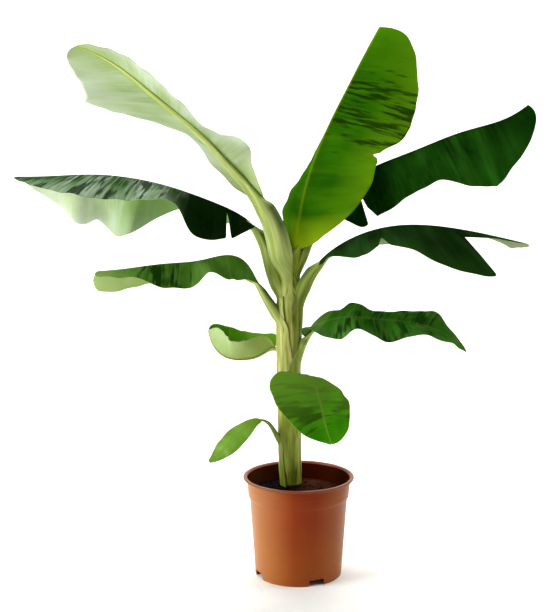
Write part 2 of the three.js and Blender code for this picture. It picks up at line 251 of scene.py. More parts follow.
# Painted light: it is paler and tan on its left, a painted highlight where the left lamp falls, and
# olive brown on its right, painted light from the right lamp. It is also lighter and yellower towards
# its foot. Each tint has its axis, where it starts and where it is full in millimetres, its strength and
# its colour.
pot_split = add_node(plastic, "SeparateXYZ", {0: pot_place})
for axis, start, full, strength, tint in (
    (2, 130, 0, 0.4, "#a8621e"),
    (0, -10, -90, 0.66, "#b48048"),
    (0, 30, 90, 0.55, "#86581e"),
):
    gradient_share = add_node(plastic, "MapRange", {
        0: pot_split.outputs[axis], 1: start * MM, 2: full * MM, 3: 0.0, 4: strength,
    })
    wall_colour = add_node(plastic, "Mix", {
        0: gradient_share, 6: wall_colour, 7: to_linear(tint),
    }, data_type="RGBA").outputs[2]
# A point is inside where it is nearer to the axis than the middle of the wall, above the hidden part.
from_axis = add_node(plastic, "VectorMath", {
    0: add_node(plastic, "Mapping", {"Vector": pot_place, "Scale": (1, 1, 0)}),
}, operation="LENGTH").outputs["Value"]
pot_height = pot_split.outputs[2]
wall_middle = add_node(plastic, "MapRange", {
    0: pot_height,
    1: COLLAR_FOOT[1] * MM,
    2: COLLAR_TOP[1] * MM,
    3: (COLLAR_FOOT[0] - HALF_WALL) * MM,
    4: (COLLAR_TOP[0] - HALF_WALL) * MM,
})
# Painted shade: above the soil, the inside wall is darkened nearly to black.
inside = add_node(plastic, "Math", {
    0: add_node(plastic, "Math", {0: from_axis, 1: wall_middle}, operation="LESS_THAN"),
    1: add_node(plastic, "MapRange", {
        0: pot_height, 1: INSIDE_SHADE_FOOT * MM, 2: (INSIDE_SHADE_FOOT + 1) * MM, 3: 0.0, 4: INSIDE_SHADE_STRENGTH,
    }),
}, operation="MULTIPLY")
# The lip is darker and browner than the wall.
on_lip = add_node(plastic, "MapRange", {
    0: pot_height, 1: LIP_FOOT * MM, 2: (LIP_FOOT + 2) * MM, 3: 0.0, 4: LIP_STRENGTH,
})
# The lip's tint, then the painted shade inside.
for share, tint in ((on_lip, "#7c442c"), (inside, "#240602")):
    wall_colour = add_node(plastic, "Mix", {
        0: share, 6: wall_colour, 7: to_linear(tint),
    }, data_type="RGBA").outputs[2]
gloss = add_node(plastic, "MapRange", {0: inside, 1: 0.0, 2: 0.9, 3: 0.12, 4: 0.0})
dust = add_node(plastic, "MapRange", {0: inside, 1: 0.0, 2: 0.9, 3: 0.04, 4: 0.0})
add_node(plastic, "OutputMaterial", {
    "Surface": add_node(plastic, "BsdfPrincipled", {
        "Base Color": wall_colour,
        "Roughness": 0.38,
        "IOR": 1.49,
        "Specular IOR Level": gloss,
        "Sheen Weight": dust,
        "Sheen Roughness": 0.4,
        "Normal": add_node(plastic, "Bump", {
            "Height": drag.outputs["Fac"],
            "Strength": 0.25,
            "Distance": 0.3 * MM,
        }),
    }),
})

slope = (COLLAR_TOP[0] - COLLAR_FOOT[0]) / (COLLAR_TOP[1] - COLLAR_FOOT[1])
rings = []
for height in COLLAR_RINGS:
    radius = COLLAR_FOOT[0] + slope * (height - COLLAR_FOOT[1])
    for rise, proud in ((-RING_HALF_WIDTH, 0), (0, RING_DEPTH), (RING_HALF_WIDTH, 0)):
        rings.append((radius + slope * rise + proud, height + rise))
collar = POT_PROFILE.index(COLLAR_FOOT) + 1
bm = spun_shape([*POT_PROFILE[:collar], *rings, *POT_PROFILE[collar:]], POT_SIDES)
pot_shell = make_piece("pot_shell", bm, [plastic], "pot", "pot")

bm = bmesh.new()
for i in range(NOTCHES):
    block = bmesh.ops.create_cube(bm, size=1)["verts"]
    bmesh.ops.scale(bm, verts=block, vec=(NOTCH_DEPTH * MM, NOTCH_WIDTH * MM, 2 * NOTCH_HEIGHT * MM))
    bmesh.ops.translate(bm, verts=block, vec=(NOTCH_MIDDLE * MM, 0, 0))
    turn = math.radians(NOTCH_BEARING + 360 / NOTCHES * i)
    for vert in block:
        x, y = vert.co.x, vert.co.y
        vert.co.x = x * math.cos(turn) - y * math.sin(turn)
        vert.co.y = x * math.sin(turn) + y * math.cos(turn)
level = [edge for edge in bm.edges if abs(edge.verts[0].co.z - edge.verts[1].co.z) < MM]
bmesh.ops.bevel(
    bm, geom=level, offset=NOTCH_CORNER * MM, segments=3, profile=0.5, affect="EDGES", material=-1,
)
cutter = add_object("notch_cutter", bm)
cutter_mesh = cutter.data
cut = pot_shell.modifiers.new("drain_notches", "BOOLEAN")
cut.operation = "DIFFERENCE"
cut.solver = "EXACT"
cut.object = cutter
bpy.context.view_layer.update()
applied(pot_shell)
bpy.data.objects.remove(cutter)
bpy.data.meshes.remove(cutter_mesh)
pot_shell.data.shade_smooth()
pot_shell.data.set_sharp_from_angle(angle=math.radians(SHARP_ANGLE))

# Soil: dark, moist potting mix pressed in by hand. Its top is an uneven crumbly bed, heaped a little
# round the stem and lower at the wall, with loose crumbs on it.
SOIL_LEVEL = 162
SOIL_RADIUS = 92.9
SOIL_FOOT = 40
EDGE_DROP = 4.5
EDGE_START = 0.55  # shares of the radius
EDGE_WIDTH = 0.4
HEAP_X = -14
HEAP_RADIUS = 56
HEAP_HEIGHT = 10
HEAP_SLOPE = 28
BED_RINGS = 46
BED_SIDES = 128
BED_BUMPS = ((45, 2.2), (170, 1.4), (420, 0.9))  # how many to a metre, and their height
CRUMBS = 520
CRUMB_SIZES = (1.0, 3.4)
CRUMB_STRETCH = ((0.6, 1.7), (0.6, 1.3), (0.5, 0.9))

# Potting mix: moist peat and bark fines, matt and nearly black, with brown drier patches.
GRAIN_SIZE = 3.03
PATCH_SIZE = 16.7

peat = new_material("potting_mix")
soil_place = add_node(peat, "TexCoord").outputs["Object"]
grain = add_node(peat, "TexVoronoi", {"Vector": soil_place, "Scale": 1 / (GRAIN_SIZE * MM)})
patch = add_node(peat, "TexNoise", {
    "Vector": soil_place, "Scale": 1 / (PATCH_SIZE * MM), "Detail": 6.0,
})
soil_colour = add_node(peat, "Mix", {
    0: patch.outputs["Fac"], 6: to_linear("#0a0402"), 7: to_linear("#4c2410"),
}, data_type="RGBA")
# Painted shade: it is blacker to the left of the stem, where the stem and the pot's wall shade it.
soil_x = add_node(peat, "SeparateXYZ", {0: soil_place}).outputs[0]
soil_shade = add_node(peat, "MapRange", {0: soil_x, 1: -20 * MM, 2: 20 * MM, 3: 0.9, 4: 0.0})
shaded_soil_colour = add_node(peat, "Mix", {
    0: soil_shade, 6: soil_colour.outputs[2], 7: to_linear("#040201"),
}, data_type="RGBA")
add_node(peat, "OutputMaterial", {
    "Surface": add_node(peat, "BsdfPrincipled", {
        "Base Color": shaded_soil_colour.outputs[2],
        "Roughness": 0.95,
        "Specular IOR Level": 0.05,
        "Normal": add_node(peat, "Bump", {
            "Height": grain.outputs["Distance"],
            "Strength": 0.8,
            "Distance": 1.5 * MM,
        }),
    }),
})


def bed_height(x, y):
    """Height of the bed: lower at the pot's wall and heaped round the stem, all in millimetres."""
    edge = min(max(math.hypot(x, y) / SOIL_RADIUS - EDGE_START, 0) / EDGE_WIDTH, 1)
    heap = min(max((HEAP_RADIUS - math.hypot(x - HEAP_X, y)) / HEAP_SLOPE, 0), 1)
    return SOIL_LEVEL - EDGE_DROP * edge + HEAP_HEIGHT * heap * heap * (3 - 2 * heap)


bed = [(SOIL_RADIUS * i / BED_RINGS, SOIL_LEVEL) for i in range(BED_RINGS + 1)]
bed += [(SOIL_RADIUS - 3, SOIL_LEVEL - 14), (SOIL_RADIUS - 16, SOIL_FOOT), (0, SOIL_FOOT)]
bm = spun_shape(bed, BED_SIDES)
for vert in bm.verts:
    if vert.co.z > (SOIL_LEVEL - 1) * MM:
        to_wall = SOIL_RADIUS - vert.co.xy.length / MM
        rough = sum(noise.noise(vert.co * pitch) * height for pitch, height in BED_BUMPS)
        level = bed_height(vert.co.x / MM, vert.co.y / MM)
        vert.co.z = (level + rough * min(1, to_wall / 4 + 0.2)) * MM
make_piece("soil_bed", bm, [peat], "soil", "soil")

bm = bmesh.new()
draw = random.Random(7)
for _ in range(CRUMBS):
    size = draw.uniform(*CRUMB_SIZES) * MM
    bearing = draw.uniform(0, math.tau)
    reach = math.sqrt(draw.uniform(0.05, 1)) * (SOIL_RADIUS - 4)
    crumb = bmesh.ops.create_icosphere(bm, subdivisions=1, radius=size)["verts"]
    bmesh.ops.scale(bm, verts=crumb, vec=[draw.uniform(*stretch) for stretch in CRUMB_STRETCH])
    x, y = reach * math.cos(bearing), reach * math.sin(bearing)
    where = Vector((x, y, bed_height(x, y))) * MM
    for vert in crumb:
        vert.co += where + noise.noise_vector(vert.co * 900 + where * 50) * size * 0.35
bmesh.ops.recalc_face_normals(bm, faces=bm.faces)
crumbs = make_piece("soil_crumbs", bm, [peat], "soil")
crumbs.data.shade_flat()

# False stem: the tightly rolled leaf bases of a banana plant, firm, watery and smooth. One tapering tube
# with a faint grain stands for the inner ones, with a slight sway, from the soil to the fork.
STEM_X = -14
STEM_SWAY = -5
SWAY_HEIGHTS = (162, 600)
STEM_HEIGHTS = (150, 176, 200, 265, 392, 480, 530, 555, 575)
STEM_RADII = (18.5, 20, 21.5, 22, 22.5, 24.5, 25, 19, 9)
STEM_SIDES = 64
STEM_RINGS = 160
LEAST_RADIUS = 3
LAYER_STEP = 0.6
LAYER_END = 50  # above the height at which a leaf parts from the stem
LAYER_TAPER = 70
ROOT_HEIGHTS = (230, 337, 355, 389, 456, 470, 511, 525, 525, 526, 535)


def along(values, share):
    """A smooth reading of evenly spaced values at a share of their run, as the solids have it."""
    last = len(values) - 1
    at = min(max(share, 0), 1) * last
    i = min(math.floor(at), last - 1)
    f = at - i
    before, a, b, after = values[max(i - 1, 0)], values[i], values[i + 1], values[min(i + 2, last)]
    rise, fall = 3 * f * f - 2 * f**3, f * f - f**3
    return a * (1 - rise) + b * rise + (b - before) / 2 * (f - f * f - fall) - (after - a) / 2 * fall


def eased(share):
    """0 to 1 with a soft start and end."""
    share = min(max(share, 0), 1)
    return share * share * (3 - 2 * share)


def stem_x(height):
    """Where the middle of the stem stands at a height."""
    foot, top = SWAY_HEIGHTS
    return STEM_X + STEM_SWAY * math.sin(math.pi * (height - foot) / (top - foot))


def stem_radius(height):
    """The stem's radius at a height."""
    for i in range(len(STEM_HEIGHTS) - 1):
        if height <= STEM_HEIGHTS[i + 1]:
            break
    share = (height - STEM_HEIGHTS[i]) / (STEM_HEIGHTS[i + 1] - STEM_HEIGHTS[i])
    return STEM_RADII[i] + (STEM_RADII[i + 1] - STEM_RADII[i]) * min(max(share, 0), 1)


def layer_radius(height, root):
    """Radius of the sheath of the leaf that parts from the stem at root: lower leaves wrap it."""
    lower = [other for other in ROOT_HEIGHTS if other < root]
    outside = sum(eased((other + LAYER_END - height) / LAYER_TAPER) for other in lower)
    return stem_radius(height) - LAYER_STEP * outside


def make_tube(bm, rings, sides, place):
    """Closes a grid to a tube with flat ends. place(vert, ring, point) puts each vertex in its place."""
    for vert in bmesh.ops.create_grid(bm, x_segments=rings, y_segments=sides, size=1)["verts"]:
        ring = round((vert.co.x + 1) / 2 * rings)
        point = round((vert.co.y + 1) / 2 * sides) % sides
        place(vert, ring, point)
    bmesh.ops.remove_doubles(bm, verts=bm.verts, dist=0.002 * MM)
    bmesh.ops.holes_fill(bm, edges=[edge for edge in bm.edges if edge.is_boundary])
    bmesh.ops.recalc_face_normals(bm, faces=bm.faces)


def place_core(vert, ring, point):
    """Puts a vertex of the core inside all the sheaths that show."""
    height = STEM_HEIGHTS[0] + (STEM_HEIGHTS[-1] - STEM_HEIGHTS[0]) * ring / STEM_RINGS
    radius = max(layer_radius(height, STEM_HEIGHTS[-1]) - LAYER_STEP, LEAST_RADIUS)
    turn = math.tau * point / STEM_SIDES
    vert.co = Vector((stem_x(height) + radius * math.cos(turn), radius * math.sin(turn), height)) * MM


# Living leaf sheath: smooth, waxy and slightly see-through, yellow-green with fine upright fibres.
FIBRE_WIDTH = 2.38
FIBRE_LENGTH = 111
CLOUD_WIDTH = 33.3
CLOUD_LENGTH = 125

sheath = new_material("leaf_sheath_skin")
stem_place = add_node(sheath, "TexCoord").outputs["Object"]
fibres, clouds = [
    add_node(sheath, "TexNoise", {
        "Vector": add_node(sheath, "Mapping", {
            "Vector": stem_place,
            "Scale": [1 / (size * MM) for size in (width, width, length)],
        }),
        "Scale": 1.0,
        "Detail": 3.0,
    }).outputs["Fac"]
    for width, length in ((FIBRE_WIDTH, FIBRE_LENGTH), (CLOUD_WIDTH, CLOUD_LENGTH))
]
sheath_green = add_node(sheath, "Mix", {
    0: clouds, 6: to_linear("#71842a"), 7: to_linear("#b9bf62"),
}, data_type="RGBA")
fibre_green = add_node(sheath, "Mix", {
    0: fibres, 6: to_linear("#5d7322"), 7: sheath_green.outputs[2],
}, data_type="RGBA")
add_node(sheath, "OutputMaterial", {
    "Surface": add_node(sheath, "BsdfPrincipled", {
        "Base Color": fibre_green.outputs[2],
        "Roughness": 0.45,
        "IOR": 1.42,
        "Subsurface Weight": 0.15,
        "Subsurface Radius": (0.004, 0.006, 0.002),
        "Subsurface Scale": 0.5,
        "Normal": add_node(sheath, "Bump", {
            "Height": fibres,
            "Strength": 0.4,
            "Distance": 0.4 * MM,
        }),
    }),
})

bm = bmesh.new()
make_tube(bm, STEM_RINGS, STEM_SIDES, place_core)
make_piece("stem_core", bm, [sheath], "stem", "pseudostem")

# Leaves: living, waxy and a little see-through. Each has a stout channelled stalk, whose foot wraps the
# stem as a sheath and whose end runs on as the midrib, and a wide thin blade with close parallel side
# veins. They are placed by the same rule as the plant's solids, on a finer grid.

# root is the height at which a leaf's line leaves the stem's axis. climb and bearing, in degrees, are
# read at even steps along stalk and blade; the widths of the two halves, their folds and the lean of
# the veins at even steps along the blade. A tear has its half, its start, end and depth as shares, and
# may have its own flare beyond its end.
LEAVES = {
    "lowest": {
        "root": 230, "stalk": 98, "length": 129, "radii": (9, 3), "curl": 5, "foot": 0.4, "tip": 0.5,
        "wrap": (34, 75),
        "climb": (50, 60, 50, -17, -37, -39, -35),
        "bearing": (203, 205, 208, 212, 211, 206, 202),
        "left": (22, 20, 20, 22, 24, 26, 26, 26, 26, 24, 22, 18, 15),
        "left_fold": (-10, -15, -15),
        "right": (23, 18, 18, 20, 24, 27, 28, 27, 27, 25, 23, 19, 20),
        "right_fold": (12, 14, 12),
    },
    "front": {
        "root": 337, "stalk": 90, "length": 148, "radii": (11, 4), "curl": 8, "foot": 0.35, "tip": 0.3,
        "climb": (56, 47, 26, -38, -66, -73, -68),
        "bearing": (298, 298, 299, 297, 305, 321, 335),
        "left": (41, 48, 59, 70, 81, 90, 96, 98, 98, 95, 90, 79, 68),
        "left_fold": (-13, -15, -19, -21, -20, -19, -16, -12, -8, -6, -2, 2, 4),
        "right": (86, 89, 93, 90, 85, 83, 79, 73, 66, 59, 49, 38, 29),
        "right_fold": (17, 13, 4, -2, -5, -8, -8, -6, -4, 0, 9, 17, 25),
        "lean": (-16, -6, 0, 9, 16),
    },
    "cupped": {
        "root": 389, "stalk": 60, "length": 163, "radii": (13, 6), "curl": 15, "foot": 0.14, "tip": 0.4,
        "climb": (63, 50, -32, -11, 13, 55, 80),
        "bearing": (118, 133, 169, 180, 184, 188, 188),
        "left": (45, 48, 56, 63, 65, 66, 65, 63, 61, 57, 56, 57, 67),
        "left_fold": (73, 60, 55, 52, 50, 49, 49, 51, 50, 49, 51, 52, 59),
        "right": (78, 65, 63, 61, 61, 63, 64, 63, 60, 60, 61, 66, 75),
        "right_fold": (33, 34, 48, 59, 65, 68, 69, 68, 65, 62, 56, 44, 29),
    },
    "right_low": {
        "root": 355, "stalk": 112, "length": 323, "radii": (14, 6), "curl": 10, "foot": 0.12, "tip": 0.2,
        "stout": 1.3,
        "climb": (77, 71, 34, -1, -5, -22, -47),
        "bearing": (340, 340, 333, 350, 355, 362, 352),
        "left": (55, 64, 72, 76, 55, 47, 57, 69, 73, 46, 33, 34, 35),
        "left_fold": (28, 23, 15, 17, 20, 14, 13, 13, 20, 41, 28, 16, 12),
        "right": (44, 48, 57, 65, 63, 65, 59, 65, 68, 60, 42, 33, 26),
        "right_fold": (11, 12, -17, -23, -6, -14, -28, -10, 0, -4, -1, 0, 11),
    },
    "left_low": {
        "root": 456, "stalk": 116, "length": 326, "radii": (13, 5), "curl": 10, "foot": 0.15,
        "tip": 0.08, "stout": 1.5,
        "climb": (67, 56, 59, -8, -2, -7, -3),
        "bearing": (194, 197, 204, 200, 196, 190, 187),
        "left": (49, 60, 64, 55, 61, 68, 58, 56, 61, 61, 57, 52, 46),
        "left_fold": (-9, -19, -32, -43, -30, -6, -41, -43, -26, -5, -3, -1, 1),
        "right": (45, 55, 60, 62, 62, 64, 66, 67, 66, 68, 74, 78, 70),
        "right_fold": (-15, -15, -15, -15, -17, -22, -28, -33, -34, -36, -36, -32, -22),
    },
    "right_mid": {
        "root": 470, "stalk": 135, "length": 405, "radii": (18, 10), "curl": 10, "foot": 0.2, "tip": 0.2,
        "stout": 1.3,
        "climb": (79, 64, 36, 15, -3, -11, -13),
        "bearing": (350, 346, 347, 341, 350, 354, 349),
        "left": (50, 80, 90, 95, 95, 96, 97, 94, 93, 89, 83, 68, 49),
        "left_fold": (-5, -4, -9, -17, -20, -18, -8, -5, -7, -11, -11, -10, -12),
        "right": (40, 65, 82, 94, 95, 109, 109, 123, 128, 111, 81, 60, 40),
        "right_fold": (-16, -5, -15, -19, -13, -20, -40, -43, -40, -28, -16, -16, -15),
        "lean": (0, 10, 32, 46, 30),
        "tears": ((-1, 0.33, 0.335, 0.35), (-1, 0.68, 1, 0.8)),
    },
    "left_arch": {
        "root": 511, "stalk": 159, "length": 476, "radii": (18, 9), "curl": 10, "foot": 0.2, "tip": 0.2,
        "stout": 1.35, "flare": 0.008,
        "climb": (61, 72, 28, 18, 8, -3, 0),
        "bearing": (165, 165, 179, 174, 178, 170, 177),
        "left": (47, 67, 100, 105, 114, 106, 94, 95, 97, 90, 79, 64, 50),
        "left_fold": (22, -22, -25, -31, -2, -7, -17, -19, -16, -11, -5, -2, -3),
        "right": (82, 94, 101, 102, 99, 100, 117, 160, 154, 127, 96, 67, 44),
        "right_fold": (-9, -11, -16, -19, -16, -37, -63, -42, -34, -47, -35, -27, -20),
        "lean": (-25, -12, 5, 15, 20),
        "tears": ((1, 0.145, 0.15, 0.8),),
    },
    "right_high": {
        "root": 525, "stalk": 185, "length": 482, "radii": (16, 8.5), "curl": 15, "foot": 0.2,
        "tip": 0.15,
        "climb": (78, 63, 44, 21, 21, 13, 29),
        "bearing": (28, 28, 26, 15, 14, 24, 35),
        "left": (50, 95, 112, 120, 115, 90, 60),
        "left_fold": (-20, -25, -30),
        "right": (58, 91, 89, 88, 90, 82, 80, 110, 121, 115, 86, 64, 48),
        "right_fold": (-58, -67, -74, -74, -46, -48, -48, -52, -56, -73, -70, -66, -36),
        "lean": (-15, -12, -5, 5, 15),
        "tears": ((-1, 0.162, 0.168, 0.62), (-1, 0.172, 0.172, 0.35, 0.05)),
    },
    "upper_left": {
        "root": 526, "stalk": 192, "length": 447, "radii": (21, 13), "curl": 10, "foot": 0.2,
        "tip": 0.15, "stout": 1.5,
        "climb": (78, 77, 49, 42, 34, 36, 19),
        "bearing": (199, 202, 202, 217, 220, 210, 205),
        "left": (31, 42, 49, 86, 45, 33, 53, 67, 75, 74, 65, 54, 38),
        "left_fold": (17, 16, 27, 18, 18, 12, 8, 9, 8, 9, 9, 5, -5),
        "right": (63, 77, 84, 93, 105, 130, 131, 141, 112, 96, 79, 62, 49),
        "right_fold": (2, 0, 7, 16, 8, -6, -16, -25, -35, -34, -33, -30, -36),
        "lean": (-9, 17, 38, 38, 43),
    },
    "upright": {
        "root": 535, "stalk": 88, "length": 490, "radii": (18, 10), "curl": 10, "foot": 0.15,
        "tip": 0.15,
        "climb": (84, 83, 73, 56, 45, 52, 58),
        "bearing": (15, 30, 36, 50, 57, 47, 26),
        "left": (54, 72, 84, 93, 102, 122, 141, 141, 131, 113, 95, 80, 70),
        "left_fold": (16, -1, -11, -25, -36, -43, -52, -59, -61, -61, -60, -60, -60),
        "right": (67, 88, 109, 122, 121, 123, 154, 163, 158, 143, 116, 94, 91),
        "right_fold": (-45, -50, -50, -50, -50),
        "lean": (10, 22, 28),
        "tears": ((-1, 0.395, 0.4, 0.1),),
    },
    "back": {
        "root": 525, "stalk": 200, "length": 380, "radii": (16, 8), "curl": 15, "foot": 0.2, "tip": 0.3,
        "climb": (74, 61, 44, 29, 19, 9, 0),
        "bearing": (62, 66, 69, 71, 72, 73, 74),
        "left": (46, 60, 66, 62, 45),
        "left_fold": (-30, -38, -38),
        "right": (40, 56, 78, 80, 55),
        "right_fold": (-20, -30, -30),
    },
}
VEIN_LEAN = (0, 22)  # degrees at foot and tip; what follows are shares of the blade's length
VEIN_START = 0.04
TEAR_FLARE = 0.015
RIB_TAPER = 0.8  # lost from foot to tip
LINE_STEPS = 160


def rounded(share):
    """Quarter of a circle, from 0 at the start to 1."""
    return math.sqrt(1 - (1 - min(max(share, 0), 1)) ** 2)


def line_of(leaf):
    """The leaf's middle line: a reader that gives place, ahead, left and up at a distance along it."""
    total = leaf["stalk"] + leaf["length"]

    def heading(distance):
        climb = math.radians(along(leaf["climb"], distance / total))
        turn = math.radians(along(leaf["bearing"], distance / total))
        flat = math.cos(climb)
        ahead = Vector((flat * math.cos(turn), flat * math.sin(turn), math.sin(climb)))
        left = Vector((-math.sin(turn), math.cos(turn), 0))
        return ahead, left, ahead.cross(left)

    step = total / LINE_STEPS
    places = [Vector((stem_x(leaf["root"]), 0, leaf["root"]))]
    for i in range(LINE_STEPS):
        places.append(places[-1] + heading((i + 0.5) * step)[0] * step)

    def read(distance):
        at = min(max(distance / step, 0), LINE_STEPS)
        i = min(math.floor(at), LINE_STEPS - 1)
        return (places[i].lerp(places[i + 1], at - i), *heading(distance))

    return read


def rib_half(leaf, share):
    """Half the midrib's width at a share of the blade's length."""
    return leaf["radii"][1] * (1 - RIB_TAPER * share)


def blade_point(leaf, line, share, across, side):
    """A point on the blade's middle sheet, its normal, and the half's width there, in millimetres."""
    place, ahead, left, up = line(leaf["stalk"] + share * leaf["length"])
    half = "left" if side > 0 else "right"
    full = along(leaf[half], share) * rounded(share / leaf["foot"]) * rounded((1 - share) / leaf["tip"])
    width = max(full, rib_half(leaf, share) * 1.3 + 1)
    fold = math.radians(along(leaf[half + "_fold"], share))
    curl = math.radians(leaf["curl"])
    lean = math.radians(along(leaf.get("lean", VEIN_LEAN), share)) * min(max(share / VEIN_START, 0), 1)
    slope = fold - curl * across
    out = width * math.cos(lean) * (math.sin(fold) - math.sin(slope)) / curl
    rise = width * math.cos(lean) * (math.cos(slope) - math.cos(fold)) / curl
    point = place + left * (side * out) + up * rise + ahead * (width * across * math.sin(lean))
    return point, up * math.cos(slope) - left * (side * math.sin(slope)), width


def torn_share(leaf, share, side):
    """How much of a half is torn away at a share of the blade's length."""
    deepest = 0
    flare = leaf.get("flare", TEAR_FLARE)
    for torn_side, start, end, deep, *beyond in leaf.get("tears", ()):
        if torn_side == side:
            past = (share - end) / (beyond[0] if beyond else flare)
            apart = max((start - share) / flare, past, 0)
            deepest = max(deepest, deep * max(1 - apart, 0))
    return deepest


# Living leaf: a green skin, matt with wax, with streaks along its side veins and a paler band along its
# rib. Some light goes through it. Widths and lengths of its patterns are in millimetres.
FINE_VEIN = 5.0  # real ones are about 1 mm apart, too fine to show
GLOW_SHARE = 0.25
RIB_BAND = (0.7, 4.5)  # strength and width
FOOT_BAND = (0, 110, 0.9)  # start, end and strength


def leaf_skin(
    name, length, dark, light, streak, foot, edge, tip, glow,
    rib=RIB_BAND, reach=FOOT_BAND, flecks=None, shaded_left_half=None,
):
    """Skin of one side of a leaf. flecks has the colour of darker flecks, the middle and half the length
    of the band that they lie in, and their strength. turned is the colour of painted shade on the left
    half."""
    skin = new_material(name)
    place = add_node(skin, "Attribute", attribute_name="leaf_place").outputs["Vector"]
    split = add_node(skin, "SeparateXYZ", {0: place})
    outward = add_node(skin, "Math", {0: split.outputs[2]}, operation="ABSOLUTE")
    off_rib = add_node(skin, "Math", {0: split.outputs[1]}, operation="ABSOLUTE")
    # Noise stretched along the side veins: its size along the rib and along a vein.
    noises = {}
    for kind, along_rib, along_vein, detail in (
        ("fine", FINE_VEIN, 130, 2.0),
        ("broad", 26, 160, 2.0),
        ("cloud", 60, 80, 3.0),
        ("fleck", 6, 55, 4.0),
        ("patch", 26, 110, 2.0),
        ("ridge", 9, 400, 1.0),
    ):
        noises[kind] = add_node(skin, "TexNoise", {
            "Vector": add_node(skin, "Mapping", {
                "Vector": place,
                "Scale": (1 / along_rib, 1 / along_vein, 0),
            }),
            "Scale": 1.0,
            "Detail": detail,
        }).outputs["Fac"]
    # Each tint has what it depends on, the span of that, its strength at both ends and its colour.
    tints = [
        (noises["cloud"], 0.36, 0.64, 0.0, 1.0, light),
        (outward, 0.4, 1.0, 0.0, 0.75, edge),
        (noises["broad"], 0.46, 0.66, 0.0, 0.55, streak),
        (noises["fine"], 0.5, 0.78, 0.0, 0.5, streak),
        (split.outputs[0], 0.72 * length, 0.98 * length, 0.0, 0.8, tip),
    ]
    if flecks:
        fleck, middle, half, strength = flecks
        from_middle = add_node(skin, "Math", {0: split.outputs[0], 1: middle}, operation="SUBTRACT")
        off = add_node(skin, "Math", {0: from_middle}, operation="ABSOLUTE")
        band = add_node(skin, "MapRange", {0: off, 1: 0.4 * half, 2: half, 3: 0.5, 4: 0.2})
        mixed = add_node(skin, "Math", {0: noises["patch"], 1: band}, operation="MULTIPLY")
        flecked = add_node(skin, "Math", {
            0: noises["fleck"], 1: 0.5, 2: mixed,
        }, operation="MULTIPLY_ADD")
        tints.append((flecked, 0.485, 0.55, 0.0, strength, fleck))
    tints += [
        (split.outputs[0], *reach, 0.0, foot),
        (off_rib, 1.0, rib[1], rib[0], 0.0, foot),
    ]
    # Painted shade on the left half.
    if shaded_left_half:
        tints.append((split.outputs[2], 0.05, 0.5, 0.0, 0.85, shaded_left_half))
    colour = to_linear(dark)
    for value, start, end, low, high, tint in tints:
        share = add_node(skin, "MapRange", {0: value, 1: start, 2: end, 3: low, 4: high})
        colour = add_node(skin, "Mix", {
            0: share, 6: colour, 7: to_linear(tint),
        }, data_type="RGBA").outputs[2]
    relief = add_node(skin, "Math", {
        0: noises["ridge"], 1: 1.5, 2: noises["fine"],
    }, operation="MULTIPLY_ADD")
    bump = add_node(skin, "Bump", {
        "Height": relief,
        "Strength": 0.45,
        "Distance": 0.8 * MM,
    })
    solid = add_node(skin, "BsdfPrincipled", {
        "Base Color": colour,
        "Roughness": 0.5,
        "IOR": 1.42,
        "Specular IOR Level": 0.0,
        "Normal": bump,
    })
    through = add_node(skin, "BsdfTranslucent", {"Color": to_linear(glow), "Normal": bump})
    both = add_node(skin, "MixShader", {0: GLOW_SHARE, 1: solid, 2: through})
    add_node(skin, "OutputMaterial", {"Surface": both})
    return skin


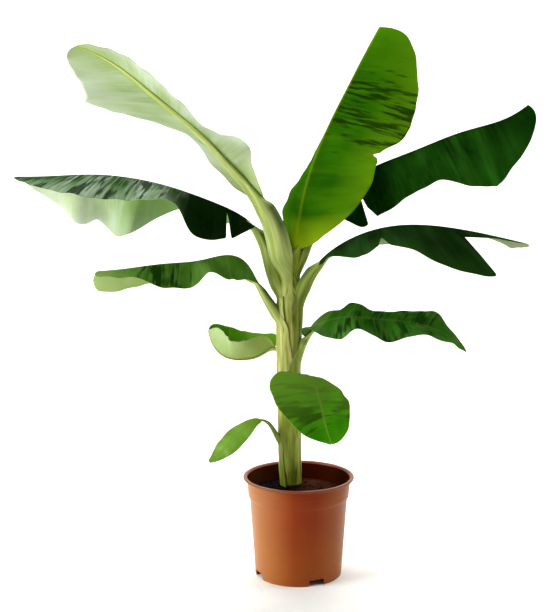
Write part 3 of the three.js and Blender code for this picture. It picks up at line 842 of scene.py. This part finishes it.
def stalk_skin(name, stalk, wing, shade, pale, sheath_shade, sheath_pale):
    """Living leaf stalk and sheath: smooth, waxy and pale, with fine fibres along it, dark green wings
    near the blade, a hollow and inner side darkened with painted shade, dry brown streaks, and a thin
    brown edge where it wraps the stem, partly a dry margin and partly painted shade along its seam.
    wing is the width of a wing in millimetres and the shares of the stalk between which it sets in."""
    skin = new_material(name)
    place = add_node(skin, "Attribute", attribute_name="leaf_place").outputs["Vector"]
    split = add_node(skin, "SeparateXYZ", {0: place})
    off_edge = add_node(skin, "Math", {0: split.outputs[2]}, operation="ABSOLUTE")
    # Noise stretched along the stalk: its size along it and round it, in millimetres.
    noises = {}
    for kind, along_stalk, round_stalk, detail in (
        ("fibre", 85, 2.2, 4.0),
        ("streak", 100, 9, 3.0),
        ("stain", 60, 7, 3.0),
    ):
        noises[kind] = add_node(skin, "TexNoise", {
            "Vector": add_node(skin, "Mapping", {
                "Vector": place,
                "Scale": (1 / along_stalk, 1 / round_stalk, 0),
            }),
            "Scale": 1.0,
            "Detail": detail,
        }).outputs["Fac"]
    streak = add_node(skin, "MapRange", {0: noises["streak"], 1: 0.4, 2: 0.6})
    sheath_tone, stalk_tone = [
        add_node(skin, "Mix", {
            0: streak, 6: to_linear(low), 7: to_linear(high),
        }, data_type="RGBA").outputs[2]
        for low, high in ((sheath_shade, sheath_pale), (shade, pale))
    ]
    # Shares that change at distances along the stalk: from 0 to 1, or from 1 to 0.
    places = {}
    for kind, start, end, low in (
        ("upper", 10, 90, 0.0),
        ("on_stem", 30, 90, 1.0),
        ("near_blade", wing[1] * stalk, wing[2] * stalk, 0.0),
        ("before_foot", stalk - 12, stalk + 6, 1.0),
    ):
        places[kind] = add_node(skin, "MapRange", {
            0: split.outputs[0], 1: start, 2: end, 3: low, 4: 1 - low,
        })
    winged = add_node(skin, "Math", {
        0: places["near_blade"], 1: places["before_foot"],
    }, operation="MULTIPLY")
    colour = add_node(skin, "Mix", {
        0: places["upper"], 6: sheath_tone, 7: stalk_tone,
    }, data_type="RGBA").outputs[2]
    # As on a leaf, and where on the stalk the tint shows.
    for value, start, end, low, high, where, tint in (
        (noises["fibre"], 0.36, 0.56, 0.5, 0.0, 1.0, sheath_shade),
        # Painted shade in the hollow and on the inner side.
        (split.outputs[2], -3.0, -0.5, 0.75, 0.0, 1.0, "#4a6a18"),
        (noises["stain"], 0.54, 0.68, 0.0, 0.75, places["on_stem"], "#4c3412"),
        (off_edge, 0.5 * wing[0], 1.1 * wing[0], 0.9, 0.0, winged, "#2c4c12"),
        # The brown edge: partly a dry margin, partly painted shade along the seam.
        (off_edge, 0.8, 4.0, 0.8, 0.0, places["on_stem"], "#553c18"),
    ):
        share = add_node(skin, "Math", {
            0: add_node(skin, "MapRange", {0: value, 1: start, 2: end, 3: low, 4: high}),
            1: where,
        }, operation="MULTIPLY")
        colour = add_node(skin, "Mix", {
            0: share, 6: colour, 7: to_linear(tint),
        }, data_type="RGBA").outputs[2]
    add_node(skin, "OutputMaterial", {
        "Surface": add_node(skin, "BsdfPrincipled", {
            "Base Color": colour,
            "Roughness": 0.42,
            "IOR": 1.42,
            "Specular IOR Level": 0.25,
            "Subsurface Weight": 0.12,
            "Subsurface Radius": (0.004, 0.006, 0.002),
            "Subsurface Scale": 0.5,
            "Normal": add_node(skin, "Bump", {
                "Height": noises["fibre"],
                "Strength": 0.4,
                "Distance": 0.5 * MM,
            }),
        }),
    })
    return skin


# Colours of each leaf's two sides: dark, light, streak, foot, edge, tip and what shines through. Young
# leaves are bright; older ones are darker above and pale with wax below. Some tops are near-black with
# painted shade, and some streaks and edges are painted light, as noted by each leaf.
LEAF_TOPS = {
    "lowest": ("#507a20", "#749a3c", "#98b860", "#6c9030", "#48701c", "#608434", "#9fce3a"),
    "front": ("#206804", "#44900c", "#5ca018", "#7ca038", "#307806", "#44900c", "#7fc41e"),
    "cupped": ("#2f5e0c", "#47780f", "#5c8c20", "#5f8a20", "#3a6a10", "#3a6a10", "#86c02a"),
    "right_low": ("#205008", "#346c18", "#5c8840", "#7ca050", "#40682c", "#3a6424", "#5f9e1c"),
    "left_low": ("#345c14", "#54802a", "#6c9044", "#4c7424", "#446c24", "#7c9450", "#5f9e1c"),
    # Near-black above: a darker upper side, with painted shade.
    "right_mid": ("#081404", "#10260a", "#24401a", "#142c0a", "#1c3a10", "#284414", "#2f6a0c"),
    # Pale grey streaks and edge: painted reflection. Near-black foot: painted shade.
    "left_arch": ("#1c380e", "#4c6c3c", "#c0ccbc", "#081404", "#8ca480", "#244c14", "#3f7a10"),
    # Near-black above: a darker upper side, with painted shade.
    "right_high": ("#081c04", "#1a480c", "#34701e", "#061804", "#205010", "#0c2808", "#4f8a1a"),
    "upper_left": ("#1a3a0c", "#2c4c1a", "#4c6c30", "#3f6620", "#2c5018", "#2c5018", "#6fa82e"),
    "upright": ("#286808", "#3c8408", "#60a00c", "#b4d81c", "#84b418", "#54900a", "#7fbe1e"),
    "back": ("#1c440c", "#346018", "#4c7830", "#54803a", "#2c5816", "#2c5816", "#6fae24"),
}
LEAF_UNDERS = {
    "lowest": ("#7c9c4c", "#98b468", "#b0c484", "#8ca44c", "#6c903c", "#84a050", "#9fce3a"),
    "front": ("#76983c", "#8cac54", "#9cb868", "#a4b860", "#94b068", "#94b068", "#7fc41e"),
    "cupped": ("#a4bc70", "#b4ca84", "#bdd090", "#b1c36b", "#b9cc98", "#b9cc98", "#86c02a"),
    "right_low": ("#74943c", "#88a454", "#98b068", "#2c4c14", "#8ca868", "#8ca868", "#6fae24"),
    "left_low": ("#8aa84c", "#a0b864", "#acc078", "#a4b860", "#a4bc78", "#a4bc78", "#6fae24"),
    "right_mid": ("#6c8448", "#849a64", "#98a880", "#8ca050", "#a0ac88", "#98a47c", "#4f8a1a"),
    # Very pale streaks and edge: painted light on the ridges of its folds. Darker foot: painted shade.
    "left_arch": ("#7c9c40", "#b0c688", "#dce6d4", "#6c9838", "#dce6d4", "#c4d4ac", "#5f9a24"),
    "right_high": ("#7c9c4c", "#94b068", "#a4bc80", "#86a050", "#acc090", "#acc090", "#5f9a24"),
    "upper_left": ("#a0b878", "#b8cc98", "#d4e0c8", "#acc058", "#d4e0c8", "#a8bc84", "#6fa82e"),
    "upright": ("#5c8420", "#749a38", "#84a450", "#b4c464", "#5c8030", "#5c8030", "#6fae1e"),
    "back": ("#8ca85c", "#a0b874", "#b4c690", "#b4c464", "#b0c490", "#b0c490", "#6fae24"),
}
# Where a leaf's bands differ from the usual ones of leaf_skin.
TOP_BANDS = {
    "front": {"flecks": ("#083002", 72, 60, 0.95)},
    "right_low": {"rib": (0.25, 4.5), "reach": (5, 55, 0.9), "flecks": ("#082004", 170, 160, 0.9)},
    "left_low": {"flecks": ("#0a2004", 215, 90, 0.95)},
    "right_mid": {"reach": (0, 60, 0.9)},
    # left_arch's near-black foot band on top is painted shade.
    "left_arch": {"rib": (0.3, 5), "reach": (140, 200, 0.99), "flecks": ("#0a1e06", 330, 240, 0.9)},
    # right_high's near-black foot band on top is painted shade.
    "right_high": {"rib": (0.3, 5), "reach": (60, 220, 0.9), "flecks": ("#0a1e04", 180, 160, 0.5)},
    "upright": {
        "rib": (0.4, 5), "reach": (8, 62, 1.0), "flecks": ("#1c2c04", 300, 150, 0.9),
        # Its left half is painted darker as shade.
        "shaded_left_half": "#2a5c0c",
    },
}
UNDER_BANDS = {
    # upper_left's wide pale band by the rib: the rib's own pale colour, with painted light over the
    # shade beside the raised rib.
    "upper_left": {"rib": (0.9, 16)},
    # left_arch's darker foot band below is painted shade.
    "left_arch": {"rib": (0.3, 5), "reach": (190, 330, 0.8)},
}
# Colours of each stalk: its shade and light on the stalk, then on the sheath round the stem.
STALK_TONES = {
    "lowest": ("#7c9038", "#a4b45c", "#5c7014", "#98a434"),
    "front": ("#7c9038", "#a4b45c", "#6c7818", "#a0a83c"),
    "cupped": ("#8fa048", "#b4c26c", "#8c9238", "#c4c468"),
    "right_low": ("#8a9c38", "#aebc5c", "#6c7c24", "#a0aa48"),
    "left_low": ("#94a850", "#b8c678", "#8c9440", "#c8c878"),
    "right_mid": ("#748a30", "#98aa4c", "#747c28", "#b0b858"),
    "left_arch": ("#8ca444", "#b8c670", "#8c9a3c", "#bcc468"),
    "right_high": ("#84983a", "#a4b454", "#7c882c", "#a4ac48"),
    "upper_left": ("#a0b45c", "#c0cc7c", "#94a048", "#bcc46c"),
    "upright": ("#94a42c", "#b4c048", "#7c8c1c", "#a4ac34"),
    "back": ("#8ca048", "#b0be68", "#6c7820", "#949c3c"),
}

# The width of a stalk's wings in millimetres, and the shares of the stalk between which they set in.
WINGS = {
    "right_low": (30, 0.82, 0.95),
    "left_low": (8, 0.3, 0.6),
    "upright": (1, 0.9, 1),
    "upper_left": (20, 0.45, 0.75),
}
WING_START = (0.45, 0.8)

# The tube of sheath, stalk and midrib. Lengths are in millimetres and angles in degrees. Parts of the
# stalk's section are shares of its radius.
SHEATH_REACH = 200
SHEATH_FOOT = 156
SHEATH_MARGIN = (72, 176)  # from its middle to an edge, where the leaf parts and far below that
SHEATH_SPREAD = 210
SHEATH_WALL = 0.9
SHEATH_BELLY = 2.0
PART_OFFSET = 24
PART_DISTANCE = 90
STALK_ARC = 128
HOLLOW_WIDTH = 0.9
HOLLOW_FLOOR = 0.4
HOLLOW_RISE = 0.2
RIB_THINNING = 0.88
RIB_END = 0.985
BLADE_EASE = 30
OUTER_ROOM = 0.5
INNER_ROOM = -0.8
FORK_HEIGHT = 530
FORK_FADE = 40
OUTER_POINTS = 24
INNER_POINTS = 16
RING_STEP = 3.0

# The grid of the blade. Ripples and crimps have a length and a height.
BLADE_ROWS = 200
ROW_BUNCHING = 0.55
HALF_COLUMNS = 28
RIB_COLUMNS = 4
RIB_REACH = 1.15
LOOSE_SHARE = 0.45
RIPPLES = (34, 4)
CRIMPS = (5.5, 0.8)
RIPPLED_WIDTH = 60
TEAR_MERGE = 0.02
BLADE_THICKNESS = 0.7

for name, leaf in LEAVES.items():
    line = line_of(leaf)

    # The sheath wraps the stem, narrows upwards between its two edges, leaves the stem as a channelled
    # stalk and runs on under the blade as the midrib. All of it is one tube along the leaf's line.
    below = min(leaf["root"] - SHEATH_FOOT, SHEATH_REACH)
    end = leaf["stalk"] + leaf["length"] * RIB_END
    rings = round((below + end) / RING_STEP)
    bearing = math.radians(leaf["bearing"][0])
    outward = Vector((math.cos(bearing), math.sin(bearing), 0))
    sideways = Vector((-outward.y, outward.x, 0))
    root_axis = Vector((stem_x(leaf["root"]), 0))
    parting = 0
    while (line(parting)[0].xy - root_axis).length < 0.5 * stem_radius(leaf["root"]):
        parting += RING_STEP

    def place_stalk(vert, ring, point):
        """Puts a vertex of the tube in its place. leaf_place says how far along and round it lies."""
        distance = -below + (below + end) * ring / rings
        place, _, left, up = line(max(distance, 0))
        height = place.z + min(distance, 0)
        off = (place.xy - Vector((stem_x(height), 0))).length
        parted = eased(max(off / PART_OFFSET, distance / PART_DISTANCE))
        # u runs over the outside from -1 at the right edge to 1 at the left, and back over the inside.
        outer = point < OUTER_POINTS
        if outer:
            u = 2 * point / (OUTER_POINTS - 1) - 1
        else:
            u = 1 - 2 * (point - OUTER_POINTS + 1) / (INNER_POINTS + 1)
        # On the stem: part of a ring round it.
        opened = min(max((parting - distance) / SHEATH_SPREAD, 0), 1) ** 1.25
        narrow, full = leaf.get("wrap", SHEATH_MARGIN)
        margin = math.radians(narrow + (full - narrow) * opened)
        wrap = layer_radius(height, leaf["root"])
        if not outer:
            wrap -= SHEATH_WALL + SHEATH_BELLY * (1 - u * u)
        on_stem = Vector((stem_x(height), 0, height))
        on_stem += sideways * (wrap * math.sin(u * margin)) + outward * (wrap * math.cos(u * margin))
        # Off the stem: a round back and a hollow between two thin edges.
        share = min(max(distance / leaf["stalk"], 0), 1)
        rib_share = max(distance - leaf["stalk"], 0) / leaf["length"]
        thick, thin = leaf["radii"]
        stout = 1 + (leaf.get("stout", 1) - 1) * eased(share * 1.5) * (1 - 0.8 * eased(rib_share * 2.5))
        radius = (thin + (thick - thin) * (1 - share) ** 1.2) * stout
        radius *= (1 - RIB_THINNING * rib_share) * (1 - 0.25 * eased(rib_share * 8))
        arc = math.radians(STALK_ARC)
        if outer:
            across, down = math.sin(u * arc), math.cos(u * arc)
        else:
            across, down = math.sin(arc) * HOLLOW_WIDTH * u, -HOLLOW_FLOOR - HOLLOW_RISE * abs(u) ** 2.5
        # Under the blade it is flatter, tilts with the two halves and hangs clear of their fold.
        on_blade = eased((distance - leaf["stalk"]) / BLADE_EASE + 0.5)
        left_fold, right_fold = along(leaf["left_fold"], rib_share), along(leaf["right_fold"], rib_share)
        droop = min((left_fold + right_fold) / 2, 0)
        snug = 0.3 + (1.05 / math.cos(math.radians(droop)) - 0.3) * eased(-droop / 30)
        down = down * (1 - 0.5 * on_blade) + snug * on_blade
        tilt = math.radians(left_fold - right_fold) / 2 * on_blade
        off_stem = place + (left * math.cos(tilt) + up * math.sin(tilt)) * (across * radius)
        off_stem -= (up * math.cos(tilt) - left * math.sin(tilt)) * (down * radius)
        spot = on_stem.lerp(off_stem, parted)
        # What it wraps keeps its room: a point inside that is pushed out to its surface.
        axis = Vector((stem_x(spot.z), 0))
        clear = layer_radius(spot.z, leaf["root"]) + (OUTER_ROOM if outer else INNER_ROOM)
        clear *= 1 - eased((spot.z - FORK_HEIGHT) / FORK_FADE)
        reach = spot.xy - axis
        if reach.length < clear and parted > 0:
            spot.xy = axis + reach.normalized() * clear
        vert.co = spot * MM
        run = wrap * margin * (1 - parted) + radius * arc * parted
        vert[layer] = (distance, u * run, (1 - abs(u)) * run * (1 if outer else -1))

    bm = bmesh.new()
    layer = bm.verts.layers.float_vector.new("leaf_place")
    make_tube(bm, rings, OUTER_POINTS + INNER_POINTS, place_stalk)
    wing = WINGS.get(name, (leaf["radii"][1], *WING_START))
    skin = stalk_skin("leaf_stalk_skin_" + name, leaf["stalk"], wing, *STALK_TONES[name])
    make_piece("leaf_stalk_" + name, bm, [skin], "stalk", "stalk_" + name)

    # The blade is a grid laid along the line, closer together at its foot, its tip and the rib. A tear
    # pulls the points beyond it back to its edge, and those that meet are merged.
    bm = bmesh.new()
    layer = bm.verts.layers.float_vector.new("leaf_place")
    grid = bmesh.ops.create_grid(bm, x_segments=BLADE_ROWS, y_segments=2 * HALF_COLUMNS, size=1)["verts"]
    phase = sum(ord(letter) for letter in name)
    for vert in grid:
        run = (vert.co.x + 1) / 2
        share = run - ROW_BUNCHING * math.sin(math.tau * run) / math.tau
        column = vert.co.y * HALF_COLUMNS
        side = 1 if column >= 0 else -1
        column = abs(column)
        rib = rib_half(leaf, share) * RIB_REACH / blade_point(leaf, line, share, 0, side)[2]
        if column <= RIB_COLUMNS:
            across = column / RIB_COLUMNS * rib
        else:
            across = rib + (1 - rib) * (column - RIB_COLUMNS) / (HALF_COLUMNS - RIB_COLUMNS)
        across = min(across, 1 - torn_share(leaf, share, side))
        point, normal, width = blade_point(leaf, line, share, across, side)
        distance = share * leaf["length"]
        loose = max(across - LOOSE_SHARE, 0) / (1 - LOOSE_SHARE)
        flutter = noise.noise((distance / RIPPLES[0], side * 3.1, phase)) * RIPPLES[1]
        flutter += math.sin(distance / CRIMPS[0] + phase) * CRIMPS[1]
        vert.co = (point + normal * (flutter * loose * loose * min(1, width / RIPPLED_WIDTH))) * MM
        vert[layer] = (distance, side * across * width, side * across)
    bmesh.ops.remove_doubles(bm, verts=bm.verts, dist=TEAR_MERGE * MM)
    bmesh.ops.recalc_face_normals(bm, faces=bm.faces)
    # Its upper side has to be the front of its faces.
    middle, _, _, up = line(leaf["stalk"] + 0.5 * leaf["length"])
    nearest = min(bm.faces, key=lambda face: (face.calc_center_median() - middle * MM).length)
    if nearest.normal.dot(up) < 0:
        bmesh.ops.reverse_faces(bm, faces=bm.faces)
    skins = [
        leaf_skin("leaf_" + face + "_skin_" + name, leaf["length"], *tones[name], **bands.get(name, {}))
        for face, tones, bands in (("top", LEAF_TOPS, TOP_BANDS), ("under", LEAF_UNDERS, UNDER_BANDS))
    ]
    blade = make_piece("leaf_blade_" + name, bm, skins, "blade", "blade_" + name)
    thickness = blade.modifiers.new("blade_thickness", "SOLIDIFY")
    thickness.thickness = BLADE_THICKNESS * MM
    thickness.offset = 0
    thickness.material_offset = 1
    thickness.material_offset_rim = 1
    bpy.context.view_layer.update()
    applied(blade)
